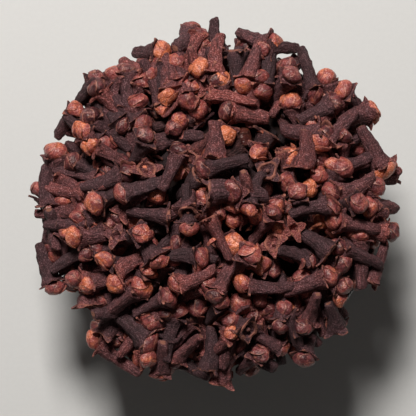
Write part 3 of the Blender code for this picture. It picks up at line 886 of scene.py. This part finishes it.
def dried_stem():
    """Dried clove stem: matt purple-brown, finely granular from its oil glands, and fibrous lengthwise.

    The calyx is redder than the stem, its sepals' thin edges dry lighter, and the cut tail is pale wood.
    Granules are drawn at twice their size, to show, their raised tops painted lighter and greyer as glints
    and the hollows between them painted darker as shade.
    """
    finish, tree, shader = new_finish("dried_clove_stem")
    place = own_grain(tree)
    mottle = noise(tree, place, 1 / MOTTLE, 3.0)
    level = product(tree, mottle, 0.7, mark(tree, "tone"))
    redder = product(tree, mark(tree, "calyx"), 0.16, -0.37)
    colour = ramp(tree, STEM_TONES, add(tree, "ShaderNodeMath", _0=level, _1=redder).outputs[0])
    granules = noise(tree, place, 1 / GRANULE, 2.0)
    # Granules with painted glints on their raised tops and painted shade between them
    colour = grain_and_glints(tree, colour, granules, 0.72, 2.8)
    long = add(tree, "ShaderNodeVectorMath", {"operation": "MULTIPLY"}, _0=place, _1=FIBRE_STRETCH)
    fibres = noise(tree, long.outputs["Vector"], 1 / FIBRE, 1.0)
    # Painted shade in the furrows between the lengthwise fibres, where their relief is low
    colour = over(tree, stretch(tree, fibres, 0.34, 0.50, 0.60, 0.0), colour, PAINTED_CREVICE_SHADE)
    edge = product(tree, mark(tree, "edge"), mottle)
    colour = over(tree, stretch(tree, edge, 0.20, 0.60, 0.0, 0.75), colour, PALE_EDGE_AND_LIP_HIGHLIGHT)
    colour = over(tree, stretch(tree, mark(tree, "cut"), 0.2, 0.7, 0.0, 0.8), colour, CUT_WOOD)
    # Painted shade: cloves deep in the heap darkened toward near black
    tree.links.new(over(tree, mark(tree, "shade"), colour, PAINTED_DEEP_SHADE), shader.inputs["Base Color"])
    dull = stretch(tree, granules, 0.0, 1.0, 0.92, 0.62)
    skin = product(tree, fibres, 0.9, granules)
    set_surface(tree, shader, dull, skin, STEM_RELIEF, 1.0, Specular_IOR_Level=0.35)
    return finish


def dried_bud():
    """Dried clove petals: thin, leathery and slightly oily, so they catch the light.

    They are painted paler towards the crown and darker at the base, as light from above, with a painted
    highlight on their rims and painted shade where one tucks under the next.
    """
    finish, tree, shader = new_finish("dried_clove_petals")
    place = own_grain(tree)
    mottle = noise(tree, place, 1 / MOTTLE, 4.0)
    level = product(tree, mottle, 1.5, mark(tree, "bud_tone"))
    # Painted light: the bud lighter towards its crown and darker at its base
    crown = product(tree, mark(tree, "calyx"), 0.40, -1.03)
    colour = ramp(tree, BUD_TONES, add(tree, "ShaderNodeMath", _0=level, _1=crown).outputs[0])
    patch = stretch(tree, noise(tree, place, 1 / PATCH, 3.0), 0.56, 0.74, 0.0, 0.50)
    colour = over(tree, patch, colour, PALE_PATCH)
    # Painted highlight on the rims of the petals
    colour = over(tree, product(tree, mark(tree, "edge"), 0.60), colour, PALE_EDGE_AND_LIP_HIGHLIGHT)
    # Painted shade where one petal tucks under the next
    colour = over(tree, product(tree, mark(tree, "cut"), 0.55), colour, PAINTED_CREVICE_SHADE)
    fine = noise(tree, place, 1 / GRANULE, 2.0)
    # Granules with painted glints on their raised tops and painted shade between them
    colour = grain_and_glints(tree, colour, fine, 0.85, 1.6)
    # Painted shade: cloves deep in the heap darkened toward near black
    tree.links.new(over(tree, mark(tree, "shade"), colour, PAINTED_DEEP_SHADE), shader.inputs["Base Color"])
    dull = stretch(tree, fine, 0.0, 1.0, 0.22, 0.42)
    skin = product(tree, noise(tree, place, 1 / CRUMPLE, 2.0), 2.6, fine)
    set_surface(
        tree, shader, dull, skin, BUD_RELIEF, 0.8, Specular_IOR_Level=0.6, Specular_Tint=linear(OILY_TINT)
    )
    return finish


# Cloves told apart, by the mould they are like, if any: pixel of the bud or head, tones of the stem
# and the bud, and width where it is told
TOLD_APART = {
    "bent": ((144, 168, 0.4, 0.95, 1.05), (238, 329, 0.75, 0.85, 0.9), (318, 261, 0.15, 0.5, 1.1)),
    "crooked": (
        (237, 244, 0.5, 0.85, 1.3), (218, 213, 0.3, 0.45, 1.1), (93, 331, 0.6, 0.7, 1.15),
        (230, 281, 0.4, 0.75, 1.1),
    ),
    "flat_bud": ((227, 136, 0.6, 1.15, 1.1), (374, 107, 0.5, 0.9, 1.25)),
    "loose_bud": ((164, 100, 0.6, 0.95, 1.15), (82, 142, 0.7, 0.95, 1.0)),
    "open_cup": (
        (203, 94, 1.0, 0.8, 0.9), (200, 194, 0.25, 0.9, 1.25), (296, 177, 0.7, 0.6, 1.15),
        (203, 378, 0.12, 0.4, 0.95),
    ),
    "open_star": ((201, 213, 0.75, 0.5, 0.9), (337, 254, 0.15, 0.5, 1.25)),
    "stout": (
        (278, 51, 0.45, 0.75, 1.25), (199, 174, 0.1, 0.2, 1.15), (353, 229, 0.5, 0.75, 1.25),
        (389, 175, 0.5, 1.0, 1.25), (158, 352, 0.1, 0.45, 1.35),
    ),
    "straight": (
        (55, 139, 0.35, 0.72, 1.35), (157, 194, 0.7, 0.65, 1.15), (223, 109, 0.85, 0.1, 1.2),
        (326, 77, 0.4, 0.7, 1.15), (335, 224, 0.4, 0.7, 1.25), (340, 278, 0.5, 0.55, 1.2),
        (170, 46, 0.3, 0.9, 1.15), (113, 62, 0.45, 0.6, 1.25),
    ),
    None: (
        (272, 207, 0.6, 0.3, 1.1), (334, 203, 0.25, 0.45, 1.1), (326, 190, 0.6, 0.5, 1.15),
        (143, 81, 0.5, 0.45), (141, 102, 0.5, 0.62), (82, 130, 0.5, 0.8), (194, 66, 0.5, 0.95),
        (221, 78, 0.4, 1.1), (289, 102, 0.5, 0.8), (290, 153, 0.5, 0.8), (308, 188, 0.5, 0.95),
        (253, 214, 0.5, 0.62), (279, 226, 0.5, 0.75, 1.2), (276, 206, 0.5, 0.62), (256, 264, 0.5, 0.75),
        (88, 285, 0.5, 0.78), (115, 283, 0.5, 0.78), (338, 299, 0.5, 0.72), (288, 309, 0.6, 0.95),
        (319, 223, 0.5, 1.3), (103, 224, 0.5, 0.68), (75, 236, 0.5, 0.9), (66, 196, 0.45, 0.8),
        (173, 241, 0.15, 0.3), (64, 291, 0.2, 0.55), (35, 179, 0.25, 0.4), (226, 60, 0.2, 0.4),
        (80, 100, 0.3, 0.7), (376, 215, 0.45, 0.5, 1.2), (118, 238, 0.5, 0.5, 1.0),
        (295, 230, 0.9, 0.5, 0.9),
    ),
}
NAMED_CLOVES = {
    row[:2]: row[2:] + ((mould,) if mould else ()) for mould, rows in TOLD_APART.items() for row in rows
}
STEM_SPREAD = (0.02, 0.85)
BUD_SPREAD = (0.10, 0.74)
WIDTHS = (0.92, 1.22)
TONE_SEED = 5
ROLLS = 8
ROLL_SPREAD = 0.3

# Dents and pimples of the skin: how deep, and how many a metre
DENTS = (0.0011, 420.0)
PIMPLES = (0.00036, 1300.0)

# Cloves under the top two layers get painted deep shade: how far down it starts, over what depth, and how
# deep
SHADE_FROM = 0.0030
SHADE_OVER = 0.0040
SHADE_MOST = 0.85


def laying_tree():
    """A tree that sets a mould on each point, by the point's turn and size, and makes its skin uneven."""
    tree = bpy.data.node_groups.new("laid_cloves", "GeometryNodeTree")
    tree.is_modifier = True
    inputs = (
        ("Geometry", "Geometry"), ("Mould", "Object"), ("Stem", "Material"), ("Bud", "Material"),
        ("Dent", "Float"), ("Dents a metre", "Float"), ("Pimple", "Float"), ("Pimples a metre", "Float"),
    )
    for name, kind in inputs:
        tree.interface.new_socket(name=name, in_out="INPUT", socket_type="NodeSocket" + kind)
    tree.interface.new_socket(name="Geometry", in_out="OUTPUT", socket_type="NodeSocketGeometry")
    given = add(tree, "NodeGroupInput").outputs
    own = {}
    for name in ("turn", "size", "grain", "shift", "bud"):
        kind = {"data_type": "FLOAT" if name == "bud" else "FLOAT_VECTOR"}
        own[name] = add(tree, "GeometryNodeInputNamedAttribute", kind, Name=name).outputs["Attribute"]
    mould = add(tree, "GeometryNodeObjectInfo", Object=given["Mould"], As_Instance=True)
    turn = add(tree, "FunctionNodeEulerToRotation", Euler=own["turn"])
    laid = add(
        tree, "GeometryNodeInstanceOnPoints", Points=given["Geometry"], Instance=mould.outputs["Geometry"],
        Rotation=turn.outputs["Rotation"], Scale=own["size"],
    )
    real = add(tree, "GeometryNodeRealizeInstances", Geometry=laid.outputs["Instances"])
    place = add(tree, "ShaderNodeVectorMath", _0=own["grain"], _1=own["shift"]).outputs["Vector"]
    outward = add(tree, "GeometryNodeInputNormal").outputs["Normal"]
    skin = real.outputs["Geometry"]
    for depth, count in (("Dent", "Dents a metre"), ("Pimple", "Pimples a metre")):
        lumps = noise(tree, place, given[count], 1.0)
        centred = add(tree, "ShaderNodeMath", {"operation": "SUBTRACT"}, _0=lumps, _1=0.5).outputs[0]
        offset = product(tree, centred, given[depth])
        push = add(tree, "ShaderNodeVectorMath", {"operation": "SCALE"}, Vector=outward, Scale=offset)
        moved = add(tree, "GeometryNodeSetPosition", Geometry=skin, Offset=push.outputs["Vector"])
        skin = moved.outputs["Geometry"]
    stem = add(tree, "GeometryNodeSetMaterial", Geometry=skin, Material=given["Stem"])
    bud = add(
        tree, "GeometryNodeSetMaterial", Geometry=stem.outputs["Geometry"], Selection=own["bud"],
        Material=given["Bud"],
    )
    add(tree, "NodeGroupOutput", Geometry=bud.outputs["Geometry"])
    return tree


def laid_piece(name, spots, tree, settings):
    """A piece of one mould laid at many spots, each with its place, turn, size and tones by name."""
    mesh = bpy.data.meshes.new(name)
    mesh.from_pydata([spot["place"] for spot in spots], [], [])
    for key in ("turn", "size", "shift", "tone", "bud_tone", "shade"):
        give(mesh, key, [spot[key] for spot in spots])
    piece = placed(name, mesh)
    laying = piece.modifiers.new("laid", "NODES")
    laying.node_group = tree
    for item in tree.interface.items_tree:
        if item.name in settings:
            laying[item.identifier] = settings[item.name]
    bake(piece)
    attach(piece, "root")
    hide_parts("cloves")


def spots_by_mould():
    """Where each laid clove goes and how it looks, in a list for each mould."""
    heap, heads = lay_cloves()
    lay_bits(heap, heads)
    close_gaps(heap)
    rng = np.random.default_rng(TONE_SEED)
    lots = {name: [] for name in MOULDS}
    for k, (kind, length, x, y, z, heading, pitch) in enumerate(heap.laid + against_glass()):
        names = [name for name, (own_kind, *_) in MOULDS.items() if own_kind == kind]
        roll = rng.integers(0, ROLLS) * 2 * math.pi / ROLLS + rng.uniform(-ROLL_SPREAD, ROLL_SPREAD)
        matrix = (
            Matrix.Rotation(heading, 3, "Z")
            @ Matrix.Rotation(math.pi / 2 - pitch, 3, "Y")
            @ Matrix.Rotation(roll, 3, "Z")
        )
        mould = names[rng.integers(0, len(names))]
        drawn = (rng.uniform(*STEM_SPREAD), rng.uniform(*BUD_SPREAD), rng.uniform(*WIDTHS), mould)
        known = NAMED_CLOVES.get(heads.get(k), ())
        tone, bud_tone, width, mould = known + drawn[len(known):]
        # Painted shade: the deeper a clove lies below the heap's top, the darker its colour
        down = mound_top(math.hypot(x, y)) - z - length / 2 * abs(math.sin(pitch)) - SHADE_FROM
        under = math.hypot(x, y) < FREE_REACH and z > BOWL_HEIGHT
        lots[mould].append({
            "place": (x, y, z), "turn": matrix.to_euler()[:],
            "size": (width, width, length / (CLOVE_LENGTH * SIZES[kind])),
            "shift": rng.uniform(-1, 1, 3), "tone": tone, "bud_tone": bud_tone,
            "shade": SHADE_MOST * under * min(max(down / SHADE_OVER, 0), 1),
        })
    return lots


tree = laying_tree()
stem_finish = dried_stem()
bud_finish = dried_bud()
for name, spots in spots_by_mould().items():
    mould = clove_mould(name, *MOULDS[name])
    laid_piece("cloves_" + name, spots, tree, {
        "Mould": mould, "Stem": stem_finish, "Bud": bud_finish, "Dent": DENTS[0], "Dents a metre": DENTS[1],
        "Pimple": PIMPLES[0], "Pimples a metre": PIMPLES[1],
    })
    bpy.data.objects.remove(mould)


# Floor, light and camera
# A plain pale floor, one broad soft lamp high on the far side, as the shadows in the photo fall towards
# the viewer, and a long lens looking straight down.
FLOOR_SIZE = 3.0
FLOOR_TONES = ("#d9d6d1", "#dedbd6")
TEETH_A_METRE = 900.0
LAMP_RISE = math.radians(57)
LAMP_HEADING = math.radians(104)
LAMP_DISTANCE = 0.75
LAMP_SIZE = 0.18
LAMP_POWER = 5.9
FILL_LIGHT = 0.045
PIXELS_ACROSS = 416
LENS = 0.200
SENSOR = 0.036
FOCUS_HEIGHT = BOWL_HEIGHT + 0.008


def matt_paper():
    """Heavy matt paper: even, near white, with the faintest tooth."""
    finish, tree, shader = new_finish("matt_paper")
    place = add(tree, "ShaderNodeTexCoord").outputs["Object"]
    tooth = noise(tree, place, TEETH_A_METRE, 2.0)
    tree.links.new(ramp(tree, FLOOR_TONES, tooth), shader.inputs["Base Color"])
    shader.inputs["Roughness"].default_value = 0.9
    return finish


floor_mesh = bmesh.new()
bmesh.ops.create_grid(floor_mesh, x_segments=1, y_segments=1, size=FLOOR_SIZE / 2)
floor = placed("floor", bpy.data.meshes.new("floor"))
floor_mesh.to_mesh(floor.data)
floor_mesh.free()
floor.data.materials.append(matt_paper())

lamp = placed("lamp", bpy.data.lights.new("lamp", "AREA"))
lamp.data.size = LAMP_SIZE
lamp.data.energy = LAMP_POWER
lamp_reach = LAMP_DISTANCE * math.cos(LAMP_RISE)
lamp.location = (*lamp_reach * ways(LAMP_HEADING), LAMP_DISTANCE * math.sin(LAMP_RISE))
lamp.rotation_euler = (0, math.pi / 2 - LAMP_RISE, LAMP_HEADING)
world = bpy.data.worlds.new("studio")
world.use_nodes = True
sky = world.node_tree.nodes["Background"].inputs
sky["Color"].default_value = linear("#ffffff")
sky["Strength"].default_value = FILL_LIGHT
bpy.context.scene.world = world
bpy.context.scene.view_settings.view_transform = "Standard"

camera = placed("camera", bpy.data.cameras.new("camera"))
camera.data.lens = LENS * 1000
camera.data.sensor_width = SENSOR * 1000
distance = PIXELS_ACROSS * PIXEL * LENS / SENSOR
middle = from_pixel(PIXELS_ACROSS / 2, PIXELS_ACROSS / 2)
camera.location = (middle[0], middle[1], FOCUS_HEIGHT + distance)
bpy.context.scene.camera = camera
